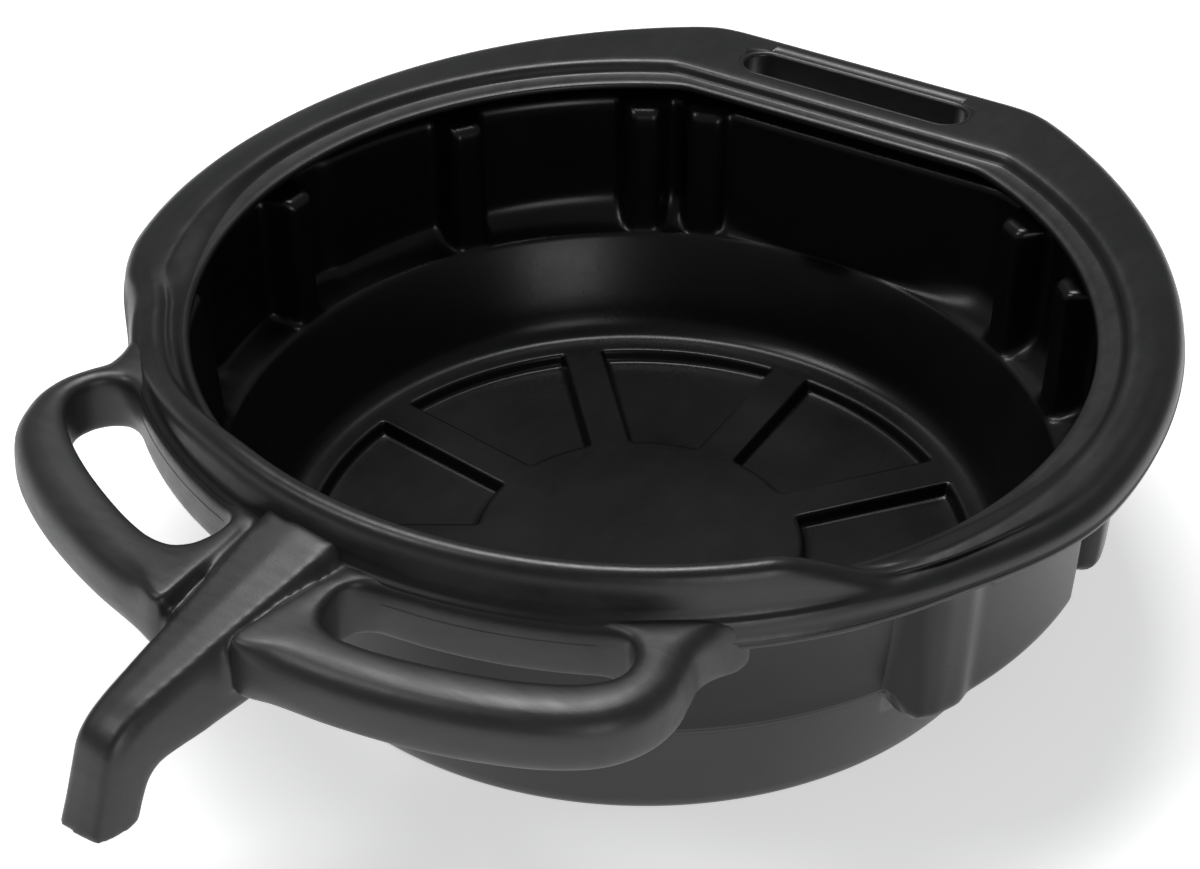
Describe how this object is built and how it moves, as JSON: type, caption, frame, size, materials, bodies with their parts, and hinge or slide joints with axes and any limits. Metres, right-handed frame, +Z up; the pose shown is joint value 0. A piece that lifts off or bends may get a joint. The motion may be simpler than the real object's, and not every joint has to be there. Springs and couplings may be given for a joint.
{
  "type": "oil drain pan",
  "caption": "Round blow-moulded oil drain pan with a raised front splash ridge, finger-slot handles, a rear grip slot and a hollow, bent pour spout.",
  "frame": {"origin": "centre of the bounding box in plan, on the ground under the feet", "axes": "+Y from the pour spout towards the straight rear grip, the longest extent; +Z up, the shortest extent; +X to the right seen from the spout end"},
  "size_m": [0.4606, 0.5801, 0.1586],
  "materials": {
    "pan_plastic": "black blow-moulded polyethylene, satin, finely grained"
  },
  "bodies": {
    "root": {"sump": "pan_plastic", "side_wall": "pan_plastic", "seat_ledge": "pan_plastic", "rim_right": "pan_plastic", "rim_left": "pan_plastic", "rear_grip": "pan_plastic", "splash_ridge": "pan_plastic", "handle_right": "pan_plastic", "handle_left": "pan_plastic", "pour_spout": "pan_plastic"}
  },
  "joints": []
}
